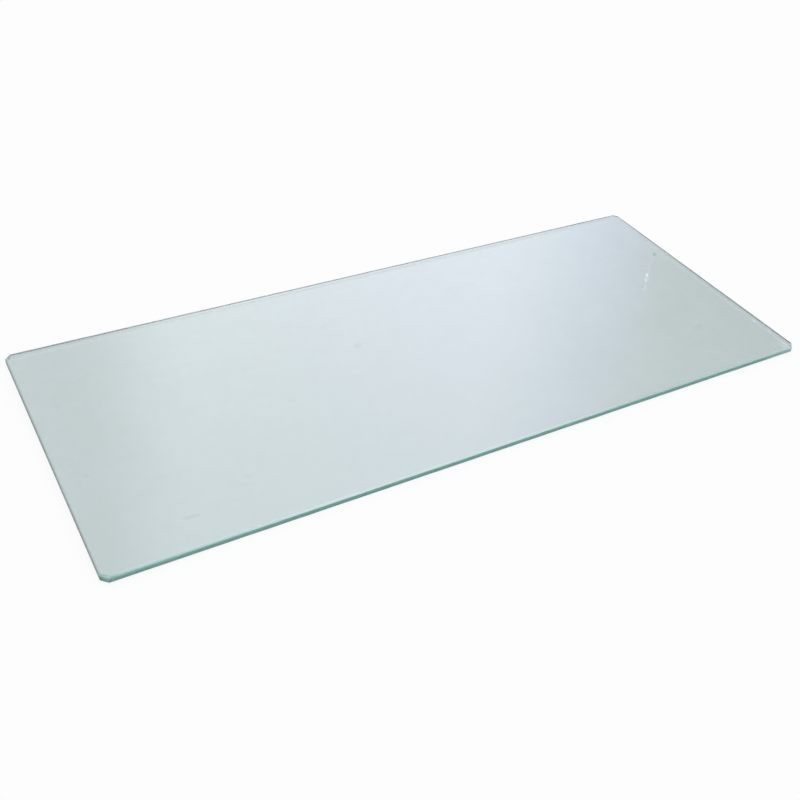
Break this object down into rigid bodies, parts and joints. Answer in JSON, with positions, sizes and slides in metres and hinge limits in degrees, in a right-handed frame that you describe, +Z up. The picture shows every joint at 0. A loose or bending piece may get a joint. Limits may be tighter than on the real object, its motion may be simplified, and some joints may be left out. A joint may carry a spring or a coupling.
{
  "type": "fridge glass shelf",
  "caption": "Rectangular toughened glass shelf pane for a refrigerator, with ground and arrissed edges and dubbed corners, laid loose on side ledges.",
  "frame": {"origin": "centre of the underside, on the surface that the pane lies on", "axes": "+X along the length, +Y from the front edge to the back edge, +Z up through the thickness"},
  "size_m": [0.474, 0.193, 0.005],
  "materials": {
    "clear_glass": "polished float faces, satin ground edge"
  },
  "bodies": {
    "root": {"glass_pane": "clear_glass"}
  },
  "joints": []
}
